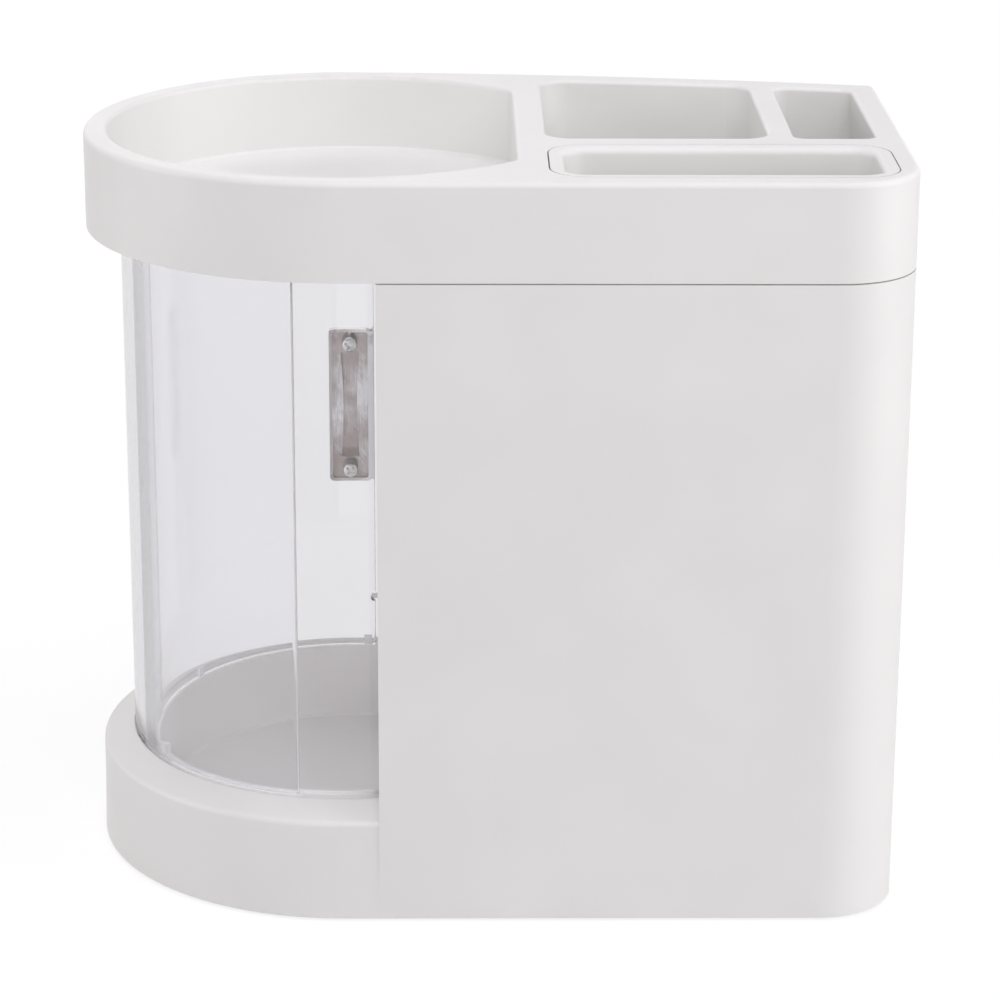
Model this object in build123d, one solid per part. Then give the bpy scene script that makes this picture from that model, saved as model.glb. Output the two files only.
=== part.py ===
from build123d import *
import math
import os

# Makeup organizer with a revolving clear door, two drawers and a lift-out box.
# +X runs to the right seen from the rear, +Y to the front with the drawers, +Z up.
# The origin lies under the middle of the outline, on the surface the feet stand on.

# Overall outline
overall_width = 280.0
end_radius = 89.0
body_height = 258.5
foot_proud = 1.0
rear_corner_radius = 27.0
front_corner_radius = 3.0
front_bow_radius = 1060.0
front_bow_join = 88.0
wall = 3.0
running_gap = 0.8
slide_gap = 0.4

# Base with its sunk tray and the track for the clear walls
base_edge_height = 35.1
base_draft = 0.6
base_shoulder_width = 11.0
base_deck_height = 39.4
base_edge_fillet = 2.0
base_deck_thickness = 6.0
base_deck_edge = 0.3
base_tray_from_partition = 6.9
base_tray_floor = 10.8
tray_corner_radius = 6.0
tray_floor_chamfer = 1.0
moulded_floor = 2.5
track_lip = 1.2
track_depth = 1.2
base_rib = 1.6
base_rib_count = 9
base_rib_start = 100.0
base_rib_sweep = 160.0

# Clear door and rear window
clear_thickness = 3.3
clear_edge_radius = 1.3
clear_gap = 0.5
window_gap = 0.35
door_edge_gap = 0.68
door_span = 175.0
track_end_angle = 1.0
pocket_end_gap = 1.0
window_front_angle = 174.0
clear_top_gap = 0.3
door_lift = 0.6
guide_foot_count = 3
guide_foot_step = 0.355
guide_foot_angle = 2.4
guide_foot_inset = 2.2
guide_foot_height = 3.5
guide_foot_depth = 1.4
guide_gap = 0.3
catch_height = 58.6
catch_pin_radius = 1.0
catch_notch_radius = 1.8
catch_pin_reach = 2.4

# Walls of the block
rear_wall_from_axis = 13.0
front_post_from_axis = 9.2
partition_inside_track = 5.55
jamb = 2.5
window_seat = 3.5
bay_floor_under = 4.0
shelf_ledge = 2.0
shelf_ledge_height = 3.0
shelf_ledge_inset = 20.0

# Cap with the round tray and the wells
cap_height = 33.4
seam_gap = 0.5
tongue_height = 2.9
tongue_thickness = 1.35
tongue_gap = 0.3
deck_thickness = 2.5
cap_edge_fillet = 2.0
mouth_fillet = 1.5
round_tray_rim = 8.0
round_tray_from_partition = 5.2
round_tray_depth = 27.4
well_depth = 60.0
well_wall = 1.6
well_floor = 2.0
middle_well_from_partition = 5.2
middle_well_corner = 9.0
well_gap = 8.7
small_well_width = 27.8
small_well_edge = 9.4
small_well_corner = 4.5
wells_behind_seat = 9.8
well_front_rim = 10.0
top_guide_drop = 3.0
top_guide_width = 1.4

# Lift-out box in the cap
seat_from_partition = 4.9
seat_edge = 7.0
seat_rear = 7.8
seat_width = 48.4
seat_corner = 13.0
seat_depth = 4.2
insert_gap = 0.5
insert_lip = 5.0
insert_wall = 2.0
insert_depth = 55.0
insert_mouth_fillet = 2.5
insert_floor_chamfer = 2.0
insert_foot_chamfer = 1.5

# Drawers
drawer_side_gap = 0.6
drawer_wall = 2.0
drawer_rear_gap = 2.0
front_thickness = 3.0
front_recess = 0.3
front_edge_fillet = 0.8
front_split_rise = 2.5
front_gap = 0.8
lower_box_gap = 2.5
upper_box_gap = 6.5

# Handles and fasteners
handle_length = 59.6
handle_width = 16.2
handle_projection = 8.6
handle_flange = 2.6
handle_corner = 1.8
handle_taper = 16.0
handle_edge_chamfer = 0.7
handle_trim = 0.1
handle_waist_depth = 1.4
handle_rim = 1.15
handle_recess = 1.5
handle_channel_length = 41.0
handle_channel_width = 7.1
handle_channel_waist = 0.9
handle_channel_depth = 7.2
handle_hole_pitch = 49.2
handle_hole_depth = 6.8
handle_boss_radius = 2.9
handle_web = 1.0
handle_from_edge = 9.37
handle_above_middle = 1.15
screw_radius = 1.5
screw_head_radius = 2.9
screw_head_height = 2.0
screw_head_chamfer = 0.7
screw_length = 8.0
screw_clearance = 0.2
tab_thickness = 3.0
tab_drop = 7.6
boss_radius = 2.9
boss_from_axis = 29.0
boss_wall_gap = 4.0
boss_edge = 8.5
boss_from_partition = 3.5
bumper_radius = 4.0
bumper_thickness = 1.7
bumper_inset = 30.0
foot_radius = 7.0
foot_seat_radius = 8.5
foot_seat_height = 1.5
foot_edge = 28.0
foot_from_axis = 23.0

# Values that follow from the sizes above
round_x = end_radius - overall_width / 2
right_x = overall_width / 2
beyond = 2 * overall_width
lift = foot_proud
bow_x = round_x + (end_radius - front_bow_radius) * math.cos(math.radians(front_bow_join))
bow_y = (end_radius - front_bow_radius) * math.sin(math.radians(front_bow_join))
track_outer = end_radius - base_shoulder_width - base_deck_edge
window_outer = track_outer - window_gap
window_inner = window_outer - clear_thickness
door_outer = window_inner - clear_gap
door_inner = door_outer - clear_thickness
track_inner = door_inner - slide_gap
base_tray_radius = track_inner - track_lip
door_front_angle = math.degrees(math.acos((front_post_from_axis - door_edge_gap) / door_outer))
handle_angle = door_front_angle + math.degrees(handle_from_edge / door_outer)
rear_wall_start = end_radius + rear_wall_from_axis
front_post_start = end_radius + front_post_from_axis
partition_start = end_radius + track_inner - partition_inside_track
base_tray_length = partition_start - base_tray_from_partition
round_tray_length = partition_start - round_tray_from_partition
track_floor = base_deck_height - track_depth
cap_bottom = body_height - cap_height
seam_height = cap_bottom - seam_gap
deck_bottom = body_height - deck_thickness
round_tray_radius = end_radius - round_tray_rim
round_tray_floor = body_height - round_tray_depth
round_tray_under = round_tray_floor - moulded_floor
well_bottom = body_height - well_depth
bay_floor = bay_floor_under + wall
partition_end = partition_start + wall
tab_top = seam_height - tab_drop
front_start = partition_end + drawer_side_gap
front_end = overall_width - wall - drawer_side_gap
lower_front_top = (bay_floor + seam_height - slide_gap) / 2
shelf_height = lower_front_top - front_split_rise
shelf_top = shelf_height + wall
small_well_end = overall_width - small_well_edge
small_well_start = small_well_end - small_well_width
middle_well_start = partition_start + middle_well_from_partition
middle_well_end = small_well_start - well_gap
seat_start = partition_start + seat_from_partition
seat_end = overall_width - seat_edge
seat_front = seat_rear + seat_width
wells_rear = seat_front + wells_behind_seat
lower_box_top = shelf_height - shelf_ledge_height - lower_box_gap
upper_box_top = well_bottom - well_floor - upper_box_gap
ledge_reach = end_radius - rear_corner_radius - shelf_ledge_inset


def from_left(distance):
    return distance - overall_width / 2


def from_rear(distance):
    return distance - end_radius


def plate(x0, x1, y0, y1):
    return Pos((x0 + x1) / 2, (y0 + y1) / 2) * Rectangle(x1 - x0, y1 - y0)


def disc(radius):
    return Pos(round_x, 0) * Circle(radius)


def bow_disc(inset):
    return Pos(bow_x, bow_y) * Circle(front_bow_radius - inset)


def bow_height(x, inset):
    return bow_y + math.sqrt((front_bow_radius - inset) ** 2 - (x - bow_x) ** 2)


def prism(sketch, bottom, top):
    return extrude(Pos(0, 0, bottom + lift) * sketch, top - bottom)


def on_ring(radius, degrees):
    angle = math.radians(degrees)
    return (round_x + radius * math.cos(angle), radius * math.sin(angle))


def ring_sector(inner, outer, start, end, edge=0.0):
    middle = (start + end) / 2
    with BuildSketch() as sector:
        with BuildLine():
            far = ThreePointArc(on_ring(outer, start), on_ring(outer, middle), on_ring(outer, end))
            near = ThreePointArc(on_ring(inner, start), on_ring(inner, middle), on_ring(inner, end))
            Line(far @ 0, near @ 0)
            Line(far @ 1, near @ 1)
        make_face()
        if edge > 0:
            fillet(sector.vertices(), edge)
    return sector.sketch


# The shared plan: a round left end, a straight rear, a rounded rear corner and a bowed front
def plan_outline(inset, corner=0.0):
    radius = end_radius - inset
    side = right_x - inset
    turn = rear_corner_radius - inset
    join = on_ring(radius, front_bow_join)
    corner_y = bow_height(side, inset)
    middle_x = (side + join[0]) / 2
    sweep = turn * (1 - math.sqrt(0.5))
    with BuildSketch() as outline:
        with BuildLine():
            ThreePointArc(join, on_ring(radius, 180), on_ring(radius, 270))
            Line(on_ring(radius, 270), (side - turn, -radius))
            ThreePointArc((side - turn, -radius), (side - sweep, sweep - radius), (side, turn - radius))
            Line((side, turn - radius), (side, corner_y))
            ThreePointArc((side, corner_y), (middle_x, bow_height(middle_x, inset)), join)
        make_face()
        if corner > 0:
            fillet(outline.vertices().sort_by_distance((side, corner_y))[0], corner)
    return outline.sketch


def rounded_plate(x0, x1, y0, y1, radius):
    return Pos((x0 + x1) / 2, (y0 + y1) / 2) * RectangleRounded(x1 - x0, y1 - y0, radius)


# A round tray whose right end is a straight wall
def tray_plan(radius, length):
    shape = disc(radius) & plate(-beyond, from_left(length), -beyond, beyond)
    return fillet(shape.vertices(), tray_corner_radius)


# A well that follows the bowed front
def well_plan(start, end, corner, grow=0.0):
    x0 = from_left(start) - grow
    x1 = from_left(end) + grow
    shape = plate(x0, x1, from_rear(wells_rear) - grow, beyond) & bow_disc(well_front_rim - grow)
    return fillet(shape.vertices(), corner + grow)


# Rotates a piece modelled along local +Z so that it points outward at a place on a wall
def facing_out(place, degrees, height):
    frame = Plane(origin=(place[0], place[1], height + lift),
                  x_dir=(0, 0, 1),
                  z_dir=(math.cos(math.radians(degrees)), math.sin(math.radians(degrees)), 0))
    return frame.location


def screw(length):
    head = Cylinder(screw_head_radius, screw_head_height, align=(Align.CENTER, Align.CENTER, Align.MAX))
    head = chamfer(head.edges().sort_by(Axis.Z)[0], screw_head_chamfer)
    shank = Cylinder(screw_radius, length, align=(Align.CENTER, Align.CENTER, Align.MIN))
    return head + shank


def screw_hole():
    return Cylinder(screw_radius + screw_clearance, handle_projection * 2)


# A bar along X that is narrower in its middle than at its ends
def waisted_bar(length, width, waist):
    radius = (length / 2) ** 2 / (2 * waist)
    bar = Rectangle(length, width)
    for side in (-1, 1):
        bar = bar - Pos(0, side * (width / 2 - waist + radius)) * Circle(radius)
    return bar


# Pull handle along local X: flange and waisted grip, with a shallow rimmed back and a cored channel
def handle_solid():
    blank = RectangleRounded(handle_length, handle_width, handle_corner)
    half_top = handle_width / 2 - handle_projection * math.tan(math.radians(handle_taper)) / 2
    side_cut = waisted_bar(handle_length, 2 * half_top, handle_waist_depth)
    grip = extrude(blank, handle_projection, taper=handle_taper) & extrude(side_cut, handle_projection)
    handle = grip + extrude(blank, handle_flange)
    handle = chamfer(handle.edges().group_by(Axis.Z)[-1], handle_edge_chamfer)
    back = RectangleRounded(handle_length - 2 * handle_rim, handle_width - 2 * handle_rim,
                            handle_corner - handle_rim / 2)
    channel = waisted_bar(handle_channel_length, handle_channel_width, handle_channel_waist)
    handle = handle - extrude(back, handle_recess) - extrude(channel, handle_channel_depth)
    web_length = (handle_length - handle_hole_pitch - handle_rim) / 2
    for end in (-1, 1):
        spot = Pos(end * handle_hole_pitch / 2, 0)
        web = Pos(end * web_length / 2, 0) * Rectangle(web_length, handle_web)
        handle = handle + spot * extrude(Circle(handle_boss_radius) + web, handle_recess)
        handle = handle - spot * extrude(Circle(screw_radius), handle_hole_depth)
    return handle


def make_housing():
    plan = plan_outline(0, front_corner_radius)
    ring = plan - plan_outline(wall)
    rear_side = plate(from_left(rear_wall_start), right_x, -end_radius, 0)
    post_side = plate(from_left(front_post_start), from_left(partition_end), 0, end_radius)
    right_side = plate(right_x - wall, right_x, 0, end_radius)
    standing = ring & (rear_side + post_side + right_side)
    tongue = standing & plan_outline(wall - tongue_thickness)
    body = prism(standing, 0, seam_height) + prism(tongue, seam_height, seam_height + tongue_height)

    # Base with a drafted side, a sloped shoulder and a soft edge between them
    left_part = plate(-beyond, from_left(partition_start), -beyond, beyond)
    side = loft([Pos(0, 0, lift) * plan_outline(0),
                 Pos(0, 0, lift + base_edge_height) * plan_outline(base_draft)], ruled=True)
    shoulder = loft([Pos(0, 0, lift + base_edge_height) * plan_outline(base_draft),
                     Pos(0, 0, lift + base_deck_height) * plan_outline(base_shoulder_width)], ruled=True)
    base = (side + shoulder) & prism(left_part, 0, base_deck_height)
    edge_z = lift + base_edge_height
    soft = base.edges().filter_by_position(Axis.Z, edge_z - base_draft, edge_z + base_draft)
    base = fillet(soft, base_edge_fillet)

    # Hollow underside round the tray, with ribs between the tray and the side
    inside = plan_outline(wall) & plate(-beyond, from_left(partition_start) - wall, -beyond, beyond)
    base_roof = base_deck_height - base_deck_thickness
    tray_skin = tray_plan(base_tray_radius + moulded_floor, base_tray_length + moulded_floor)
    tray_under = base_tray_floor - moulded_floor
    base = base - (prism(inside, 0, base_roof) - prism(tray_skin, tray_under, base_roof))
    for number in range(base_rib_count):
        angle = base_rib_start + number * base_rib_sweep / (base_rib_count - 1)
        span = Pos(round_x, 0) * Rot(0, 0, angle) * Pos(end_radius / 2, 0) * Rectangle(end_radius, base_rib)
        base = base + prism((span & inside) - tray_skin, foot_seat_height, base_roof)
    tray = prism(tray_plan(base_tray_radius, base_tray_length), base_tray_floor, body_height)
    tray = chamfer(tray.faces().sort_by(Axis.Z)[0].edges(), tray_floor_chamfer)
    base = base - tray
    body = body + base

    # Floor of the drawer bay and the low rail under the lower drawer
    bay = plan_outline(wall / 2) & plate(from_left(partition_start), right_x, -beyond, beyond)
    rail = ring & plate(from_left(partition_start), right_x, 0, end_radius)
    body = body + prism(bay, bay_floor_under, bay_floor) + prism(rail, 0, bay_floor)

    # Jambs that close the block against the window and the door
    rear_edge = from_left(rear_wall_start)
    rear_jamb = plate(rear_edge, rear_edge + jamb, wall / 2 - end_radius, 0)
    rear_jamb = rear_jamb - disc(window_outer + window_gap)
    seat_x = rear_edge + jamb + window_seat
    seat = plate(seat_x, seat_x + jamb, wall / 2 - end_radius, 0) - disc(window_inner)
    front_edge = from_left(front_post_start)
    front_jamb = plate(front_edge, front_edge + jamb, 0, end_radius) & plan_outline(wall / 2)
    front_jamb = front_jamb - disc(track_inner)
    body = body + prism(rear_jamb + seat + front_jamb, base_roof, seam_height)

    # Track for the clear walls, cut after the jambs so that the door runs past them
    track = ring_sector(track_inner, track_outer, door_front_angle - track_end_angle, 270)
    pocket_end = from_left(partition_start) - pocket_end_gap
    pocket = (disc(window_inner) - disc(track_inner)) & plate(round_x, pocket_end, -beyond, 0)
    seat_track = (disc(track_outer) - disc(track_inner)) & plate(round_x, seat_x, -beyond, 0)
    body = body - prism(track + pocket + seat_track, track_floor, base_deck_height + door_lift)

    # Ledge for the shelf, tabs for the cap screws and seats for the feet
    ledge = plate(right_x - wall - shelf_ledge, right_x - wall / 2, -ledge_reach, ledge_reach)
    body = body + prism(ledge, shelf_height - shelf_ledge_height, shelf_height)
    for x, y, tab in cap_fixings()[:3]:
        body = body + prism(tab, tab_top - tab_thickness, tab_top)
        body = body - Pos(x, y) * tab_hole()
    for x, y in foot_spots():
        top = bay_floor_under if x > from_left(partition_start) else tray_under
        body = body + Pos(x, y) * prism(Circle(foot_seat_radius), foot_seat_height, top)

    # Hole for the catch pin
    return body - catch_pin()


# Places of the cap screws with the tab under each: two on the left, one right, one on the partition
def cap_fixings():
    left_x = round_x + boss_from_axis
    right_spot = right_x - boss_edge
    inner_x = from_left(partition_end) + boss_from_partition
    rear_y = from_rear(wall + boss_wall_gap)
    front_y = bow_height(left_x, wall + boss_wall_gap)
    between_y = from_rear((seat_front + wells_rear) / 2)
    half = boss_radius
    rear_tab = plate(left_x - half, left_x + half, wall / 2 - end_radius, rear_y + half)
    front_tab = plate(left_x - half, left_x + half, front_y - half, end_radius) & plan_outline(wall / 2)
    right_tab = plate(right_spot - half, right_x - wall / 2, between_y - half, between_y + half)
    inner_tab = plate(from_left(partition_end) - wall / 2, inner_x + half,
                      between_y - half, between_y + half)
    return [(left_x, rear_y, rear_tab), (left_x, front_y, front_tab),
            (right_spot, between_y, right_tab), (inner_x, between_y, inner_tab)]


# Feet: one under the round end, two under the cabinet and two under the drawers
def foot_spots():
    middle_x = round_x + foot_from_axis
    middle_y = end_radius - foot_edge
    far_x = right_x - foot_edge
    return [(foot_edge - right_x, 0), (middle_x, -middle_y), (middle_x, middle_y),
            (far_x, -middle_y), (far_x, bow_height(far_x, foot_edge))]


def tab_hole():
    return prism(Circle(screw_radius + screw_clearance), tab_top - tab_thickness, tab_top)


def catch_pin():
    ring = (door_inner + door_outer) / 2
    edge = from_left(front_post_start)
    pin = Cylinder(catch_pin_radius, catch_pin_reach + jamb, rotation=(0, 90, 0))
    return Pos(edge + (jamb - catch_pin_reach) / 2, ring, catch_height + lift) * pin


def make_partition():
    x0 = from_left(partition_start)
    x1 = from_left(partition_end)
    sheet = plate(x0, x1, -end_radius, end_radius) & plan_outline(wall)
    panel = prism(sheet, bay_floor, seam_height)
    ledge = plate(x0, x1 + shelf_ledge, -ledge_reach, ledge_reach)
    panel = panel + prism(ledge, shelf_height - shelf_ledge_height, shelf_height)
    x, y, tab = cap_fixings()[3]
    panel = panel + prism(tab, tab_top - tab_thickness, tab_top)
    return panel - Pos(x, y) * tab_hole()


def make_shelf():
    x0 = from_left(partition_end)
    sheet = plate(x0, right_x, -end_radius, end_radius) & plan_outline(wall)
    sheet = sheet & bow_disc(front_recess + front_thickness + running_gap)
    return prism(sheet, shelf_height, shelf_top)


def seat_plate(inset):
    return rounded_plate(from_left(seat_start) + inset, from_left(seat_end) - inset,
                         from_rear(seat_rear) + inset, from_rear(seat_front) - inset, seat_corner - inset)


def make_top_tray():
    plan = plan_outline(0, front_corner_radius)
    cap = prism(plan, cap_bottom, body_height)
    cap = fillet(cap.faces().sort_by(Axis.Z)[-1].edges(), cap_edge_fillet)
    cap = cap - prism(plan_outline(wall), cap_bottom, deck_bottom)
    lip = wall - tongue_thickness - tongue_gap
    cap = cap - prism(plan_outline(lip) - plan_outline(wall), cap_bottom, seam_height + tongue_height)

    # Skins of the tray and the wells, hanging from the deck
    tray_skin = tray_plan(round_tray_radius + moulded_floor, round_tray_length + moulded_floor)
    cap = cap + prism(tray_skin, round_tray_under, deck_bottom)
    wells = [(middle_well_start, middle_well_end, middle_well_corner),
             (small_well_start, small_well_end, small_well_corner)]
    for start, end, corner in wells:
        cap = cap + prism(well_plan(start, end, corner, well_wall), well_bottom - well_floor, deck_bottom)
    box_inset = insert_lip - insert_wall - insert_gap
    cap = cap + prism(seat_plate(-well_wall), body_height - seat_depth - well_wall, deck_bottom)
    cap = cap + prism(seat_plate(box_inset - well_wall), well_bottom - well_floor, deck_bottom)

    # Bosses for the screws and the two guide rings for the clear walls
    for x, y, tab in cap_fixings():
        cap = cap + Pos(x, y) * prism(Circle(boss_radius), tab_top, deck_bottom)
    guides = disc(track_outer + top_guide_width) - disc(track_outer)
    guides = guides + disc(track_inner) - disc(track_inner - top_guide_width)
    guides = guides & plate(-beyond, from_left(round_tray_length), -beyond, beyond)
    cap = cap + prism(guides, round_tray_under - top_guide_drop, round_tray_under)

    # Hollows of the tray, the wells and the stepped seat
    tray = prism(tray_plan(round_tray_radius, round_tray_length), round_tray_floor, body_height)
    cap = cap - chamfer(tray.faces().sort_by(Axis.Z)[0].edges(), tray_floor_chamfer)
    for start, end, corner in wells:
        cap = cap - prism(well_plan(start, end, corner), well_bottom, body_height)
    mouths = cap.faces().sort_by(Axis.Z)[-1].inner_wires()
    cap = fillet(mouths.edges(), mouth_fillet)
    cap = cap - prism(seat_plate(0), body_height - seat_depth, body_height)
    cap = cap - prism(seat_plate(box_inset), well_bottom, body_height)
    for x, y, tab in cap_fixings():
        cap = cap - Pos(x, y) * prism(Circle(screw_radius), tab_top, tab_top + screw_length)
    return cap


def make_tray_screws():
    spots = [Pos(x, y, tab_top - tab_thickness + lift) for x, y, tab in cap_fixings()]
    return Compound(children=[spot * screw(screw_length + tab_thickness) for spot in spots])


def make_insert():
    top = body_height
    lip_bottom = top - seat_depth
    mouth = insert_lip + insert_gap
    lip = prism(seat_plate(insert_gap), lip_bottom, top)
    box = prism(seat_plate(mouth - insert_wall), top - insert_depth, top)
    box = chamfer(box.faces().sort_by(Axis.Z)[0].edges(), insert_foot_chamfer)
    hollow = prism(seat_plate(mouth), top - insert_depth + insert_wall, top)
    hollow = chamfer(hollow.faces().sort_by(Axis.Z)[0].edges(), insert_floor_chamfer)
    body = lip + box - hollow
    return fillet(body.faces().sort_by(Axis.Z)[-1].inner_wires().edges(), insert_mouth_fillet)


def window_end_angle():
    seat_x = from_left(rear_wall_start) + jamb + window_seat - clear_gap
    return 360 - math.degrees(math.acos((seat_x - round_x) / window_outer))


def make_window():
    sheet = ring_sector(window_inner, window_outer, window_front_angle, window_end_angle(),
                        clear_edge_radius)
    return prism(sheet, track_floor, round_tray_under - clear_top_gap)


def make_door():
    sheet = ring_sector(door_inner, door_outer, door_front_angle, door_front_angle + door_span,
                        clear_edge_radius)
    door = prism(sheet, track_floor + door_lift, round_tray_under - 2 * clear_top_gap)
    notch_x, notch_y = on_ring((door_inner + door_outer) / 2, door_front_angle)
    notch = Cylinder(catch_notch_radius, 4 * clear_thickness, rotation=(90, 0, 0))
    door = door - Pos(notch_x, notch_y, catch_height + lift) * notch
    for spot in door_handle_spots():
        door = door - spot * screw_hole()
    return door


def door_handle_height():
    return (track_floor + round_tray_under) / 2 + handle_above_middle


def door_handle_spots():
    middle = facing_out(on_ring(door_outer, handle_angle), handle_angle, door_handle_height())
    return [middle * Pos(end * handle_hole_pitch / 2, 0) for end in (-1, 1)]


def make_guide_feet():
    feet = []
    first = door_front_angle + guide_foot_inset
    for number in range(guide_foot_count):
        angle = first + number * guide_foot_step * door_span
        pad = ring_sector(door_inner - guide_foot_depth, door_inner,
                          angle - guide_foot_angle / 2, angle + guide_foot_angle / 2)
        low = base_deck_height + guide_gap
        feet.append(prism(pad, low, low + guide_foot_height))
    return Compound(children=feet)


# The handle's back is cut to the round door it sits on
def make_door_handle():
    sunk = handle_width ** 2 / (8 * door_outer) + handle_trim
    spot = facing_out(on_ring(door_outer - sunk, handle_angle), handle_angle, door_handle_height())
    handle = spot * handle_solid()
    return handle - prism(disc(door_outer), 0, body_height)


def make_door_screws():
    seat = clear_thickness + screw_head_radius ** 2 / (2 * door_inner)
    seats = [spot * Pos(0, 0, -seat) for spot in door_handle_spots()]
    return Compound(children=[spot * screw(screw_length) for spot in seats])


def drawer_heights(upper):
    if upper:
        return shelf_top + slide_gap, upper_box_top, lower_front_top + front_gap, seam_height - slide_gap
    return bay_floor + slide_gap, lower_box_top, bay_floor + front_gap, lower_front_top


def drawer_handle_spots(upper, depth):
    box_bottom, box_top, front_bottom, front_top = drawer_heights(upper)
    x = from_left((front_start + front_end) / 2)
    tilt = math.degrees(math.asin((x - bow_x) / (front_bow_radius - front_recess)))
    y = bow_height(x, front_recess)
    out = (math.sin(math.radians(tilt)), math.cos(math.radians(tilt)), 0)
    frame = Plane(origin=(x, y, (front_bottom + front_top) / 2 + lift),
                  x_dir=(out[1], -out[0], 0), z_dir=out)
    return [frame.location * Pos(end * handle_hole_pitch / 2, 0, depth) for end in (-1, 0, 1)]


def make_drawer_box(upper):
    bottom, top = drawer_heights(upper)[:2]
    x0 = from_left(front_start)
    x1 = from_left(front_end)
    y0 = from_rear(wall + drawer_rear_gap)
    skin = front_recess + front_thickness
    outer = prism(plate(x0, x1, y0, end_radius) & bow_disc(skin), bottom, top)
    corner = rear_corner_radius - wall
    outer = fillet(outer.edges().filter_by(Axis.Z).sort_by_distance((x1, y0, bottom))[0], corner)
    inner = prism(plate(x0 + drawer_wall, x1 - drawer_wall, y0 + drawer_wall, end_radius)
                  & bow_disc(skin + drawer_wall), bottom + drawer_wall, top)
    inner_edge = inner.edges().filter_by(Axis.Z).sort_by_distance((x1, y0, bottom))[0]
    inner = fillet(inner_edge, corner - drawer_wall)
    box = outer - inner
    for spot in drawer_handle_spots(upper, 0)[::2]:
        box = box - spot * screw_hole()
    return box


def make_drawer_front(upper):
    bottom, top = drawer_heights(upper)[2:]
    skin = bow_disc(front_recess) - bow_disc(front_recess + front_thickness)
    panel = prism(skin & plate(from_left(front_start), from_left(front_end), 0, end_radius), bottom, top)
    x = from_left((front_start + front_end) / 2)
    middle = (x, bow_height(x, front_recess), (bottom + top) / 2 + lift)
    face = panel.faces().sort_by_distance(middle)[0]
    panel = fillet(face.edges(), front_edge_fillet)
    for spot in drawer_handle_spots(upper, 0)[::2]:
        panel = panel - spot * screw_hole()
    return panel


def make_drawer_handle(upper):
    sunk = handle_length ** 2 / (8 * front_bow_radius) + handle_trim
    middle = drawer_handle_spots(upper, -sunk)[1]
    return middle * handle_solid() - prism(bow_disc(front_recess), 0, body_height)


def make_drawer_screws(upper):
    bow = handle_hole_pitch / 2 * (handle_hole_pitch / 4 + screw_head_radius) / front_bow_radius
    depth = -front_thickness - drawer_wall - bow
    spots = drawer_handle_spots(upper, depth)[::2]
    return Compound(children=[spot * screw(screw_length + drawer_wall) for spot in spots])


def make_bumpers():
    pads = []
    for x in (front_start + bumper_inset, front_end - bumper_inset):
        for upper in (False, True):
            bottom, top = drawer_heights(upper)[:2]
            spot = Pos(from_left(x), from_rear(wall + bumper_thickness / 2), (bottom + top) / 2 + lift)
            pads.append(spot * Cylinder(bumper_radius, bumper_thickness, rotation=(90, 0, 0)))
    return Compound(children=pads)


def make_feet():
    pads = []
    for x, y in foot_spots():
        pads.append(Pos(x, y) * prism(Circle(foot_radius), -foot_proud, foot_seat_height))
    return Compound(children=pads)


nodes = {
    "housing": make_housing(),
    "partition": make_partition(),
    "drawer_shelf": make_shelf(),
    "top_tray": make_top_tray(),
    "tray_screws": make_tray_screws(),
    "insert_box": make_insert(),
    "rear_window": make_window(),
    "revolving_door": make_door(),
    "door_guide_feet": make_guide_feet(),
    "door_handle": make_door_handle(),
    "door_handle_screws": make_door_screws(),
    "catch_pin": catch_pin(),
    "drawer_bumpers": make_bumpers(),
    "feet": make_feet(),
}
for name, upper in (("lower", False), ("upper", True)):
    nodes[name + "_drawer_box"] = make_drawer_box(upper)
    nodes[name + "_drawer_front"] = make_drawer_front(upper)
    nodes[name + "_drawer_handle"] = make_drawer_handle(upper)
    nodes[name + "_handle_screws"] = make_drawer_screws(upper)

os.makedirs("parts", exist_ok=True)
for name, solid in nodes.items():
    export_step(solid, "parts/" + name + ".step")
    print(name, round(solid.volume), "mm3")
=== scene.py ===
import math
import bpy
import numpy as np
from mathutils import Euler, Matrix, Vector


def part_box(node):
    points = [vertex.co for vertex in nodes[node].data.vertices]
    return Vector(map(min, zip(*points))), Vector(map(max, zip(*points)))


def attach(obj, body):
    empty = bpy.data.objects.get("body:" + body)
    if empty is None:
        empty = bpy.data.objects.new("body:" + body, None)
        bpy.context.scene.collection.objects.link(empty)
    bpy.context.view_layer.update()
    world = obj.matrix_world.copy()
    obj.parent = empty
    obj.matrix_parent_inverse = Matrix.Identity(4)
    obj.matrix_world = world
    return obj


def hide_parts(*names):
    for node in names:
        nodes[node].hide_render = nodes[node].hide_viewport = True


# Makeup organizer: moulded white housing and cap, clear revolving door, two drawers, lift-out box.
# Metres, same frame as the solids: +Y is the front with the drawers, the camera looks at the rear.

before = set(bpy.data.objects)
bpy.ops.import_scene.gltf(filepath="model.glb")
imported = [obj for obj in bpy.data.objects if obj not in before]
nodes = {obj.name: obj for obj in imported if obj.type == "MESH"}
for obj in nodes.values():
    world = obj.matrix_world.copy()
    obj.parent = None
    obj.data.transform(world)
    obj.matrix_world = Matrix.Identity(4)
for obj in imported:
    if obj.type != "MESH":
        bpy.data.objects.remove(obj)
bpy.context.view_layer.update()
mm = 0.001
print("frame loaded,", len(nodes), "nodes")


# height of the middle of a node's box, mm
def middleHeight(node):
    low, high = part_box(node)
    return (low[2] + high[2]) / 2 / mm


# sRGB hex to linear, channel by channel
def linear(hexColour):
    channels = [int(hexColour[i:i + 2], 16) / 255 for i in (1, 3, 5)]
    return tuple(c / 12.92 if c <= 0.04045 else ((c + 0.055) / 1.055) ** 2.4 for c in channels) + (1.0,)


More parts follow.
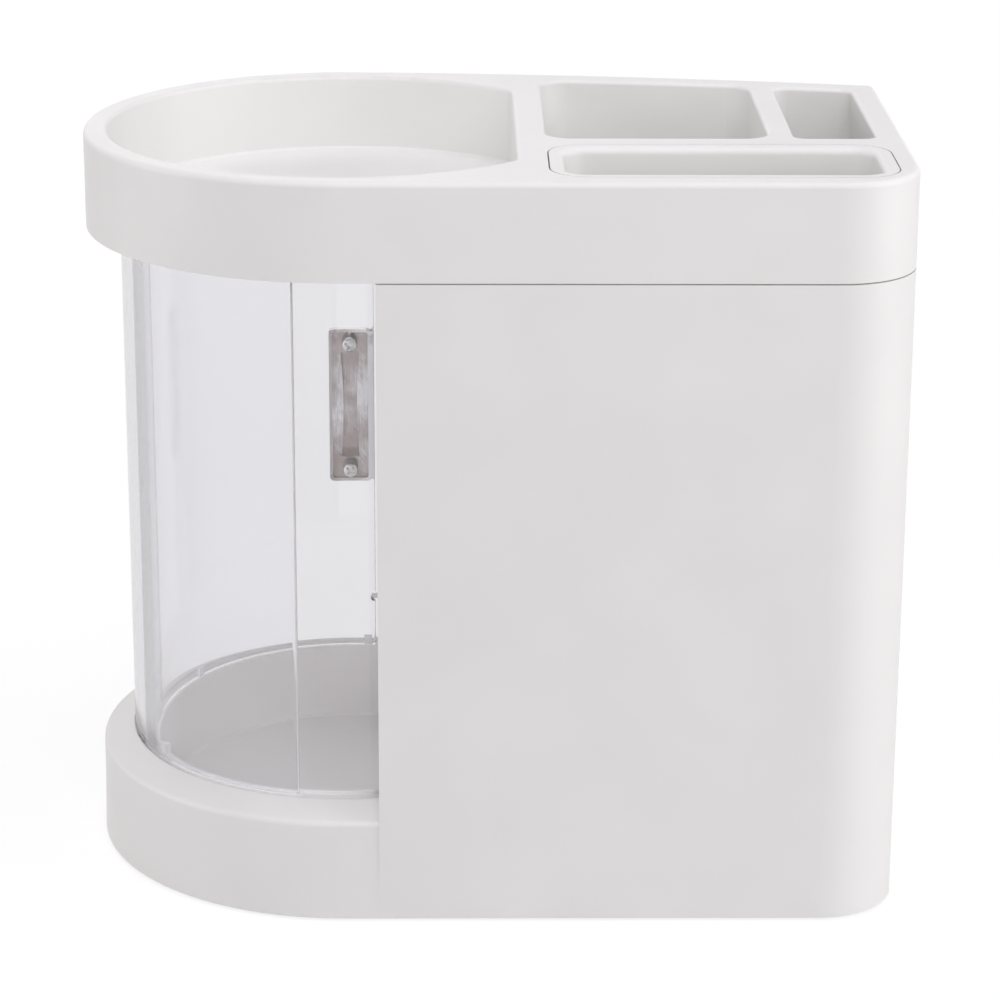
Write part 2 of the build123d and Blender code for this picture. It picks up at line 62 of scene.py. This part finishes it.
# adds one node: inputs are numbers, colours, sockets to link, or nodes, which are linked by their
# first output, and settings are the node's own properties
def addNode(tree, kind, inputs={}, **settings):
    node = tree.nodes.new(kind)
    for name, value in settings.items():
        setattr(node, name, value)
    for name, value in inputs.items():
        if isinstance(value, bpy.types.Node):
            value = value.outputs[0]
        if isinstance(value, bpy.types.NodeSocket):
            tree.links.new(value, node.inputs[name])
        else:
            node.inputs[name].default_value = value
    return node


# an empty material with its node tree and object coordinates
def newMaterial(name):
    material = bpy.data.materials.new(name)
    material.use_nodes = True
    tree = material.node_tree
    tree.nodes.clear()
    coords = addNode(tree, "ShaderNodeTexCoord").outputs["Object"]
    return material, tree, coords


# White ABS, injection moulded in a spark-eroded tool: a satin skin with a very fine grain,
# a little uneven in gloss where the melt met the tool.
absSettings = {
    "darkHex": "#f2f0ef", "lightHex": "#f5f3f2",
    "toneMm": 46.0, "toneDetail": 2.0, "toneLow": 0.35, "toneHigh": 0.65,
    "glossMm": 9.0, "glossDetail": 3.0, "glossLow": 0.3, "glossHigh": 0.7, "roughLow": 0.44, "roughHigh": 0.53,
    "grainMm": 0.9,             # real grain is near 0.1 mm, drawn coarser so that it can show
    "grainDetail": 4.0, "grainStrength": 0.35, "grainDepth": 0.012, "ior": 1.53,
}


def makeAbs():
    s = absSettings
    material, tree, coords = newMaterial("White ABS satin moulded")
    tone = addNode(tree, "ShaderNodeTexNoise", {
        "Vector": coords, "Scale": 1 / (s["toneMm"] * mm), "Detail": s["toneDetail"]})
    colours = addNode(tree, "ShaderNodeValToRGB", {"Fac": tone})
    dark, light = colours.color_ramp.elements
    dark.position, dark.color = s["toneLow"], linear(s["darkHex"])
    light.position, light.color = s["toneHigh"], linear(s["lightHex"])
    gloss = addNode(tree, "ShaderNodeTexNoise", {
        "Vector": coords, "Scale": 1 / (s["glossMm"] * mm), "Detail": s["glossDetail"]})
    rough = addNode(tree, "ShaderNodeMapRange", {
        "Value": gloss, "From Min": s["glossLow"], "From Max": s["glossHigh"],
        "To Min": s["roughLow"], "To Max": s["roughHigh"]})
    grain = addNode(tree, "ShaderNodeTexNoise", {
        "Vector": coords, "Scale": 1 / (s["grainMm"] * mm), "Detail": s["grainDetail"]})
    bump = addNode(tree, "ShaderNodeBump", {
        "Height": grain, "Strength": s["grainStrength"], "Distance": s["grainDepth"] * mm})
    shader = addNode(tree, "ShaderNodeBsdfPrincipled", {
        "Base Color": colours, "Roughness": rough, "Normal": bump, "IOR": s["ior"]})
    addNode(tree, "ShaderNodeOutputMaterial", {"Surface": shader})
    return material


# Clear polystyrene, polished mould: glass-like, greyer where the eye looks through more of it, with slow
# ripples from the flow. The fixed window is the greyer of the two sheets. At the upright ends the sheets turn
# white and less clear, painted light that stands in for the light a clear sheet carries to its edges: wide and
# matt on the window, thin and glossy on the door. The door's small feet are frosted.
clearSettings = {
    "rippleMm": 26.0, "rippleDetail": 1.0, "rippleStrength": 0.3, "rippleDepth": 0.012,
    "roughness": 0.015, "ior": 1.5, "depthHex": "#9d9ba2", "axisX": -51.0,
    # ends are degrees round the door's axis from +X, endMm is how far along the sheet each end's painted light
    # reaches
    "door": {"hex": "#fdfdfe", "depthDensity": 1.0, "radius": 72.0, "ends": (-101.652,),
             "endMm": 0.3, "endRoughness": 0.12, "endClear": 0.0},
    "window": {"hex": "#f1f0f2", "depthDensity": 32.0, "radius": 75.7, "ends": (174.0, -76.164),
               "endMm": 1.3, "endRoughness": 0.5, "endClear": 0.1},
    "feet": {"hex": "#fdfdfe", "depthDensity": 1.0, "ends": (), "clear": 0.5, "roughness": 0.35},
}


def makeClear(name, sheet):
    s = clearSettings
    own = s[sheet]
    material, tree, coords = newMaterial(name)
    ripple = addNode(tree, "ShaderNodeTexNoise", {
        "Vector": coords, "Scale": 1 / (s["rippleMm"] * mm), "Detail": s["rippleDetail"]})
    bump = addNode(tree, "ShaderNodeBump", {
        "Height": ripple, "Strength": s["rippleStrength"], "Distance": s["rippleDepth"] * mm})
    depth = addNode(tree, "ShaderNodeVolumeAbsorption", {
        "Color": linear(s["depthHex"]), "Density": own["depthDensity"]})
    look = {"Base Color": linear(own["hex"]), "IOR": s["ior"], "Normal": bump}
    if own["ends"]:
        # the angle round the door's axis picks out the sheet's upright ends
        place = addNode(tree, "ShaderNodeSeparateXYZ", {"Vector": coords}).outputs
        across = addNode(tree, "ShaderNodeMath", {0: place["X"], 1: s["axisX"] * mm}, operation="SUBTRACT")
        angle = addNode(tree, "ShaderNodeMath", {0: place["Y"], 1: across}, operation="ARCTAN2")
        paintedEdgeLight = 0.0
        for end in own["ends"]:
            near = addNode(tree, "ShaderNodeMath", {
                0: angle, 1: math.radians(end), 2: own["endMm"] / own["radius"]}, operation="COMPARE")
            paintedEdgeLight = addNode(tree, "ShaderNodeMath", {0: near, 1: paintedEdgeLight}, operation="MAXIMUM")
        # the ends lose clearness and show their white base colour: painted light for what the sheet carries to
        # its edges
        look["Transmission Weight"] = addNode(tree, "ShaderNodeMapRange", {
            "Value": paintedEdgeLight, "To Min": 1.0, "To Max": own["endClear"]})
        look["Roughness"] = addNode(tree, "ShaderNodeMapRange", {
            "Value": paintedEdgeLight, "To Min": s["roughness"], "To Max": own["endRoughness"]})
    else:
        look["Transmission Weight"] = own["clear"]
        look["Roughness"] = own["roughness"]
    shader = addNode(tree, "ShaderNodeBsdfPrincipled", look)
    addNode(tree, "ShaderNodeOutputMaterial", {"Surface": shader, "Volume": depth})
    return material


# Zinc die casting under thin nickel, brushed along its length to a satin grey with a few scratches across.
# The door handle's back shows through the door: there it takes the light end of the ramp, partly bare blotchy
# metal and partly painted light for the light the clear sheets hold back, with painted light on the rim and
# bosses that touch the door, painted shade down in the channel, and darker and browner toward both ends round the
# screws.
zincSettings = {
    "outsideStops": ((0.2, "#b0aca9"), (0.34, "#cbc8c5")), "outsideShare": 0.3,
    "backStops": ((0.66, "#b3a49e"), (0.97, "#eeecea"), (1.0, "#fefdfc")), "backShare": 1.0,
    "blotchMm": 15.0, "blotchDetail": 3.0,
    "scratchMm": 0.34,          # real scratches are near 0.05 mm wide, drawn broader so that they can show
    "scratchDetail": 3.0, "stretch": 26.0, "scratchShare": 0.42, "crossTurn": 38.0, "crossShare": 0.4,
    "scratchStrength": 0.5, "scratchDepth": 0.02, "roughLow": 0.28, "roughHigh": 0.46, "backSmoother": 0.16,
    # the back by its distance from the door's axis and the channel's place along X, mm
    "axisX": -51.0, "backReach": 74.95, "channelX": -51.9, "channelHalf": 4.2, "channelReach": 80.4,
    # where a change of tone starts and ends, mm, and the change at each: out from the axis for the painted light
    # on the rim and the painted shade in the channel's core, up or down from the handle's middle for the darker
    # ends
    "paintedRimLight": (73.4, 73.9, 0.45, 0.0), "paintedChannelShade": (75.6, 75.7, 0.0, -0.1), "towardEnds": (10.0, 25.0, 0.0, -0.24),
}


# noise drawn out into scratches along one axis, after a turn about the axis that faces out
def scratches(tree, coords, lengthAxis, turn):
    s = zincSettings
    scale = [1 / (s["scratchMm"] * mm)] * 3
    scale[lengthAxis] /= s["stretch"]
    turned = addNode(tree, "ShaderNodeMapping", {"Vector": coords, "Rotation": (0, math.radians(turn), 0)})
    drawn = addNode(tree, "ShaderNodeMapping", {"Vector": turned, "Scale": scale})
    return addNode(tree, "ShaderNodeTexNoise", {"Vector": drawn, "Scale": 1.0, "Detail": s["scratchDetail"]})


# one where the door handle's back shows: the rim and shallow floor near the door, and the channel beyond
def handleBack(tree, reach, x):
    s = zincSettings
    floor = addNode(tree, "ShaderNodeMath", {0: reach, 1: s["backReach"] * mm}, operation="LESS_THAN")
    under = addNode(tree, "ShaderNodeMath", {0: reach, 1: s["channelReach"] * mm}, operation="LESS_THAN")
    between = addNode(tree, "ShaderNodeMath", {
        0: x, 1: s["channelX"] * mm, 2: s["channelHalf"] * mm}, operation="COMPARE")
    channel = addNode(tree, "ShaderNodeMath", {0: under, 1: between}, operation="MULTIPLY")
    return addNode(tree, "ShaderNodeMath", {0: floor, 1: channel}, operation="MAXIMUM")


# backMiddle is the height of the door handle's middle in mm, for the handle whose back shows
def makeZinc(name, lengthAxis, backMiddle=None):
    s = zincSettings
    material, tree, coords = newMaterial(name)
    tone = addNode(tree, "ShaderNodeTexNoise", {
        "Vector": coords, "Scale": 1 / (s["blotchMm"] * mm), "Detail": s["blotchDetail"]})
    along = scratches(tree, coords, lengthAxis, 0)
    across = scratches(tree, coords, lengthAxis, s["crossTurn"])
    for lines, share in ((along, s["scratchShare"]), (across, s["crossShare"])):
        tone = addNode(tree, "ShaderNodeMath", {0: lines, 1: share, 2: tone}, operation="MULTIPLY_ADD")
    rough = addNode(tree, "ShaderNodeMapRange", {
        "Value": along, "To Min": s["roughLow"], "To Max": s["roughHigh"]})
    share = s["outsideShare"]
    if backMiddle is not None:
        level = addNode(tree, "ShaderNodeVectorMath", {0: coords, 1: (1, 1, 0)}, operation="MULTIPLY")
        axis = (s["axisX"] * mm, 0, 0)
        reach = addNode(tree, "ShaderNodeVectorMath", {0: level, 1: axis}, operation="DISTANCE").outputs["Value"]
        place = addNode(tree, "ShaderNodeSeparateXYZ", {"Vector": coords}).outputs
        height = addNode(tree, "ShaderNodeMath", {0: place["Z"], 1: backMiddle * mm}, operation="SUBTRACT")
        height = addNode(tree, "ShaderNodeMath", {0: height}, operation="ABSOLUTE")
        # painted light on the rim, painted shade down in the channel, and darker toward both ends
        for distance, zone in ((reach, "paintedRimLight"), (reach, "paintedChannelShade"), (height, "towardEnds")):
            start, end, first, last = s[zone]
            change = addNode(tree, "ShaderNodeMapRange", {
                "Value": distance, "From Min": start * mm, "From Max": end * mm, "To Min": first, "To Max": last})
            tone = addNode(tree, "ShaderNodeMath", {0: tone, 1: change}, operation="ADD")
        back = handleBack(tree, reach, place["X"])
        # the back takes the light stops: bare metal in part, and in part painted light for what the clear sheets
        # hold back
        share = addNode(tree, "ShaderNodeMapRange", {
            "Value": back, "To Min": s["outsideShare"], "To Max": s["backShare"]})
        rough = addNode(tree, "ShaderNodeMath", {
            0: back, 1: -s["backSmoother"], 2: rough}, operation="MULTIPLY_ADD")
    # the outside takes the low end of the ramp, the back the high end
    tone = addNode(tree, "ShaderNodeMath", {0: tone, 1: share}, operation="MULTIPLY")
    colours = addNode(tree, "ShaderNodeValToRGB", {"Fac": tone})
    ramp = colours.color_ramp.elements
    for stop, (position, colour) in zip(ramp, s["outsideStops"]):
        stop.position, stop.color = position, linear(colour)
    for position, colour in s["backStops"]:
        ramp.new(position).color = linear(colour)
    bump = addNode(tree, "ShaderNodeBump", {
        "Height": along, "Strength": s["scratchStrength"], "Distance": s["scratchDepth"] * mm})
    shader = addNode(tree, "ShaderNodeBsdfPrincipled", {
        "Base Color": colours, "Roughness": rough, "Normal": bump, "Metallic": 1.0})
    addNode(tree, "ShaderNodeOutputMaterial", {"Surface": shader})
    return material


# Steel wire, cold headed and bright plated: smooth with a slight orange peel.
steelSettings = {
    "hex": "#f2f2f1", "roughness": 0.09, "peelMm": 0.5, "peelDetail": 2.0, "peelStrength": 0.3, "peelDepth": 0.01,
}


def makeSteel():
    s = steelSettings
    material, tree, coords = newMaterial("Bright plated screw steel")
    peel = addNode(tree, "ShaderNodeTexNoise", {
        "Vector": coords, "Scale": 1 / (s["peelMm"] * mm), "Detail": s["peelDetail"]})
    bump = addNode(tree, "ShaderNodeBump", {
        "Height": peel, "Strength": s["peelStrength"], "Distance": s["peelDepth"] * mm})
    shader = addNode(tree, "ShaderNodeBsdfPrincipled", {
        "Base Color": linear(s["hex"]), "Metallic": 1.0, "Roughness": s["roughness"], "Normal": bump})
    addNode(tree, "ShaderNodeOutputMaterial", {"Surface": shader})
    return material


# Thermoplastic rubber, moulded: dull and slightly grainy.
rubberSettings = {
    "darkHex": "#aeaeb0", "lightHex": "#bdbdbe", "roughness": 0.82,
    "grainMm": 0.6, "grainDetail": 3.0, "grainStrength": 0.6, "grainDepth": 0.04,
}


def makeRubber():
    s = rubberSettings
    material, tree, coords = newMaterial("Grey thermoplastic rubber")
    grain = addNode(tree, "ShaderNodeTexNoise", {
        "Vector": coords, "Scale": 1 / (s["grainMm"] * mm), "Detail": s["grainDetail"]})
    colours = addNode(tree, "ShaderNodeValToRGB", {"Fac": grain})
    dark, light = colours.color_ramp.elements
    dark.color, light.color = linear(s["darkHex"]), linear(s["lightHex"])
    bump = addNode(tree, "ShaderNodeBump", {
        "Height": grain, "Strength": s["grainStrength"], "Distance": s["grainDepth"] * mm})
    shader = addNode(tree, "ShaderNodeBsdfPrincipled", {
        "Base Color": colours, "Roughness": s["roughness"], "Normal": bump})
    addNode(tree, "ShaderNodeOutputMaterial", {"Surface": shader})
    return material


whiteAbs = makeAbs()
clearDoor = makeClear("Clear polystyrene door", "door")
clearWindow = makeClear("Clear polystyrene window", "window")
clearFeet = makeClear("Clear polystyrene frosted feet", "feet")
zincUpright = makeZinc("Satin zinc brushed upright", 2, backMiddle=middleHeight("door_handle"))
zincLevel = makeZinc("Satin zinc brushed level", 0)
screwSteel = makeSteel()
rubber = makeRubber()
finishes = {
    whiteAbs: ["housing", "partition", "drawer_shelf", "top_tray", "insert_box", "lower_drawer_box",
               "lower_drawer_front", "upper_drawer_box", "upper_drawer_front", "catch_pin"],
    clearDoor: ["revolving_door"],
    clearWindow: ["rear_window"],
    clearFeet: ["door_guide_feet"],
    zincUpright: ["door_handle"],
    zincLevel: ["lower_drawer_handle", "upper_drawer_handle"],
    rubber: ["drawer_bumpers", "feet"],
}
for material, names in finishes.items():
    for name in names:
        nodes[name].material_slots[0].material = material
for name in finishes[clearDoor] + finishes[clearWindow] + finishes[clearFeet]:
    nodes[name].visible_shadow = False      # clear walls let the lamps through
print("materials set")


# Pan-head cross-recess screws, local +Z along the shank with the head's seat at zero, mm.
screwForm = {
    "headRadius": 2.9, "headHeight": 2.0, "domePower": 4, "domeRoot": 2.2, "headRings": 34, "firstRing": 0.02,
    "crossReach": 2.05, "crossHalf": 0.42, "crossDepth": 1.6,
    "crossPower": 3, "crossFlare": 1.25, "crossSlope": 0.5,
    "shankRadius": 1.5, "threadPitch": 0.8, "threadDepth": 0.18, "threadPower": 1.5, "ringsPerPitch": 6,
    "tipShare": 0.15, "steps": 64,
}


# Turned surface, ring by ring: the head's top is a dome z = -h (1 - (r/R)^4)^(1/2.2), sunk along two
# crossed slots that grow shallow outward, then the flat seat, then a shank whose radius follows a
# helix as a rounded saw of the height, then a short cone to the tip.
def screwRings(length):
    s = screwForm
    angle = np.linspace(0, 2 * np.pi, s["steps"], endpoint=False)[None, :]
    quarter = np.linspace(s["firstRing"], 1, s["headRings"]) * np.pi / 2
    radius = s["headRadius"] * np.sin(quarter)[:, None]
    fall = np.clip(1 - (radius / s["headRadius"]) ** s["domePower"], 0, 1)
    dome = -s["headHeight"] * fall ** (1 / s["domeRoot"])
    x, y = radius * np.cos(angle), radius * np.sin(angle)
    slot = np.minimum(np.abs(x), np.abs(y))
    inSlot = np.clip((s["crossHalf"] * s["crossFlare"] - slot) / (s["crossHalf"] * s["crossSlope"]), 0, 1)
    sunk = s["crossDepth"] * np.clip(1 - (radius / s["crossReach"]) ** s["crossPower"], 0, 1) * inSlot
    head = np.stack([x, y, np.minimum(dome + sunk, 0)], -1)
    height = np.linspace(0, length, int(length / s["threadPitch"] * s["ringsPerPitch"]) + 2)[:, None]
    wave = np.abs((height / s["threadPitch"] - angle / (2 * np.pi)) % 1 - 0.5) * 2
    taper = np.clip((length - height) / s["shankRadius"], s["tipShare"], 1)
    shank = (s["shankRadius"] - s["threadDepth"] * wave ** s["threadPower"]) * taper
    stem = np.stack([shank * np.cos(angle), shank * np.sin(angle), height + 0 * angle], -1)
    return np.concatenate([head, stem])


# quads between neighbouring rings of a turned surface and a fan at each pole
def turnedFaces(rings, steps):
    ring = np.arange(rings - 1)[:, None] * steps
    here = np.arange(steps)[None, :]
    after = (here + 1) % steps
    quads = np.stack([ring + here, ring + steps + here, ring + steps + after, ring + after], -1).reshape(-1, 4)
    last = (rings - 1) * steps
    top = np.stack([np.full(steps, rings * steps), here[0], after[0]], -1)
    tip = np.stack([np.full(steps, rings * steps + 1), last + after[0], last + here[0]], -1)
    return quads.tolist() + top.tolist() + tip.tolist()


def addPiece(name, points, faces, material, body):
    mesh = bpy.data.meshes.new(name)
    mesh.from_pydata((points * mm).tolist(), [], faces)
    mesh.polygons.foreach_set("use_smooth", np.ones(len(mesh.polygons), bool))
    mesh.materials.append(material)
    mesh.validate()
    piece = bpy.data.objects.new(name, mesh)
    bpy.context.scene.collection.objects.link(piece)
    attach(piece, body)
    return piece


# Each place is the middle of a head's seat in mm, the way the shank points and the turn of its cross.
def addScrews(name, node, body, length, places):
    rings = screwRings(length)
    count, steps = rings.shape[:2]
    poles = np.array([[0, 0, rings[0, :, 2].max()], [0, 0, length]])
    local = np.concatenate([rings.reshape(-1, 3), poles])
    faces = turnedFaces(count, steps)
    points, allFaces = [], []
    for seat, way, turn in places:
        spin = Vector(way).to_track_quat("Z", "Y").to_matrix() @ Matrix.Rotation(math.radians(turn), 3, "Z")
        allFaces += [[index + len(points) * len(local) for index in face] for face in faces]
        points.append(local @ np.array(spin).T + np.array(seat))
    piece = addPiece(name, np.concatenate(points), allFaces, screwSteel, body)
    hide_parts(node)


# The heads sit inside the door, the shanks point out into the handle.
doorScrews = {
    "angle": 90.648, "axisX": -51.0, "seatRadius": 70.19, "pitch": 49.2, "length": 8.0, "turns": (20, 40),
}


def addDoorScrews():
    s = doorScrews
    middle = middleHeight("door_handle")
    way = (math.cos(math.radians(s["angle"])), math.sin(math.radians(s["angle"])), 0.0)
    x, y = s["axisX"] + s["seatRadius"] * way[0], s["seatRadius"] * way[1]
    places = [((x, y, middle + side * s["pitch"] / 2), way, turn) for side, turn in zip((1, -1), s["turns"])]
    addScrews("doorHandleScrewHeads", "door_handle_screws", "door", s["length"], places)


# The drawer fronts follow one wide arc in plan, so each pair of screws leans with it.
drawerScrews = {
    "bowX": -84.887, "bowY": -970.41, "bowRadius": 1059.7, "x": 76.65, "depth": 5.353, "pitch": 49.2,
    "length": 10.0, "turns": (15, 55),
}


def addDrawerScrews(level):
    s = drawerScrews
    tilt = math.asin((s["x"] - s["bowX"]) / s["bowRadius"])
    out = np.array([math.sin(tilt), math.cos(tilt), 0.0])
    along = np.array([out[1], -out[0], 0.0])
    middle = np.array([s["bowX"], s["bowY"], middleHeight(level + "_drawer_handle")])
    middle += out * (s["bowRadius"] - s["depth"])
    places = [(middle + along * side * s["pitch"] / 2, out, turn) for side, turn in zip((1, -1), s["turns"])]
    addScrews(level + "DrawerScrewHeads", level + "_handle_screws", level + "_drawer", s["length"], places)


# Cap screws stand upright with their heads under the tabs of the walls.
capScrews = {
    "spots": ((-22.0, -82.0), (-22.0, 80.71), (131.5, -27.9), (19.8, -27.9)), "z": 215.0, "length": 11.0,
    "turnStep": 25,
}


def addCapScrews():
    s = capScrews
    places = [((x, y, s["z"]), (0, 0, 1), s["turnStep"] * index) for index, (x, y) in enumerate(s["spots"])]
    addScrews("capScrewHeads", "tray_screws", "cabinet", s["length"], places)


addDoorScrews()
addDrawerScrews("lower")
addDrawerScrews("upper")
addCapScrews()
print("screws made")


# Floor and backdrop: white to the camera, to reflections and through the clear walls,
# while other light sees a plain pale floor. A share of diffuse white keeps the object's shadow, and the
# glow rises away from the object, where less lamp light falls.
stageSettings = {
    "size": 12.0, "floorHex": "#d6d6d6", "shadowHex": "#8e8e8e", "whiteHex": "#ffffff", "whiteLevel": 1.0,
    "glowNear": 0.80, "glowFar": 0.97, "nearReach": 0.4, "farReach": 2.6, "skyHex": "#fbfaf8", "skyLevel": 0.20,
}


# the fraction of rays that see the white background
def seenRays(tree):
    path = addNode(tree, "ShaderNodeLightPath").outputs
    some = addNode(tree, "ShaderNodeMath", {
        0: path["Is Camera Ray"], 1: path["Is Glossy Ray"]}, operation="MAXIMUM")
    return addNode(tree, "ShaderNodeMath", {0: some, 1: path["Is Transmission Ray"]}, operation="MAXIMUM")


def makeFloor():
    s = stageSettings
    half = s["size"] / 2
    mesh = bpy.data.meshes.new("floor")
    mesh.from_pydata([(-half, -half, 0), (half, -half, 0), (half, half, 0), (-half, half, 0)], [], [(0, 1, 2, 3)])
    floor = bpy.data.objects.new("floor", mesh)
    bpy.context.scene.collection.objects.link(floor)
    material, tree, coords = newMaterial("Pale paper floor")
    plain = addNode(tree, "ShaderNodeBsdfDiffuse", {"Color": linear(s["floorHex"])})
    shade = addNode(tree, "ShaderNodeBsdfDiffuse", {"Color": linear(s["shadowHex"])})
    reach = addNode(tree, "ShaderNodeVectorMath", {0: coords}, operation="LENGTH").outputs["Value"]
    level = addNode(tree, "ShaderNodeMapRange", {
        "Value": reach, "From Min": s["nearReach"], "From Max": s["farReach"],
        "To Min": s["glowNear"], "To Max": s["glowFar"]})
    glow = addNode(tree, "ShaderNodeEmission", {"Color": linear(s["whiteHex"]), "Strength": level})
    shown = addNode(tree, "ShaderNodeAddShader", {0: shade, 1: glow})
    mix = addNode(tree, "ShaderNodeMixShader", {0: seenRays(tree), 1: plain, 2: shown})
    addNode(tree, "ShaderNodeOutputMaterial", {"Surface": mix})
    mesh.materials.append(material)


def makeWorld():
    s = stageSettings
    world = bpy.data.worlds.new("soft studio")
    world.use_nodes = True
    tree = world.node_tree
    tree.nodes.clear()
    sky = addNode(tree, "ShaderNodeBackground", {"Color": linear(s["skyHex"]), "Strength": s["skyLevel"]})
    white = addNode(tree, "ShaderNodeBackground", {"Color": linear(s["whiteHex"]), "Strength": s["whiteLevel"]})
    mix = addNode(tree, "ShaderNodeMixShader", {0: seenRays(tree), 1: sky, 2: white})
    addNode(tree, "ShaderNodeOutputWorld", {"Surface": mix})
    bpy.context.scene.world = world


# Soft boxes, named as the camera sees the object: place and size in metres, share is how much of plain level
# each gives a face turned to it.
softBoxes = {
    "top": {"place": (0.1, -0.25, 1.7), "size": 1.4, "share": 0.50, "hex": "#f8f8ff"},
    "front": {"place": (0.2, -1.8, 0.9), "size": 1.0, "share": 0.23, "hex": "#ffffff"},
    "behind": {"place": (-0.5, 1.3, 1.0), "size": 1.2, "share": 0.14, "hex": "#fffdfb"},
    "right": {"place": (1.5, -0.5, 0.4), "size": 1.0, "share": 0.42, "hex": "#ffffff"},
    "left": {"place": (-1.6, -0.15, 0.35), "size": 0.8, "share": 0.28, "hex": "#ffffff"},
}
lampTarget = (0, 0, 0.13)       # the middle of the object


def addLights():
    for name, s in softBoxes.items():
        light = bpy.data.lights.new(name, "AREA")
        light.size = s["size"]
        light.color = linear(s["hex"])[:3]
        reach = Vector(s["place"]) - Vector(lampTarget)
        light.energy = s["share"] * math.pi ** 2 * reach.length_squared
        lamp = bpy.data.objects.new(name, light)
        lamp.location = s["place"]
        lamp.visible_transmission = False   # light through the clear walls comes straight, not as caustics
        lamp.rotation_euler = reach.to_track_quat("Z", "Y").to_euler()
        bpy.context.scene.collection.objects.link(lamp)


# Place in metres, lens and sensor in mm, angles in degrees from level and from +Y.
cameraSettings = {
    "place": (-0.0119, -1.125, 0.505), "lens": 119.70, "sensor": 36.0,
    "down": 17.756, "right": 0.792, "roll": 0.262, "shiftUp": -0.06,
}


def addCamera():
    s = cameraSettings
    data = bpy.data.cameras.new("camera")
    data.lens = s["lens"]
    data.sensor_width = s["sensor"]
    data.shift_y = s["shiftUp"]
    camera = bpy.data.objects.new("camera", data)
    aim = Euler((math.radians(90 - s["down"]), 0, math.radians(-s["right"]))).to_matrix()
    camera.rotation_euler = (aim @ Matrix.Rotation(math.radians(s["roll"]), 3, "Z")).to_euler()
    camera.location = s["place"]
    bpy.context.scene.collection.objects.link(camera)
    bpy.context.scene.camera = camera


makeFloor()
makeWorld()
addLights()
addCamera()
bpy.context.scene.view_settings.view_transform = "Standard"
print("stage, lights and camera set")
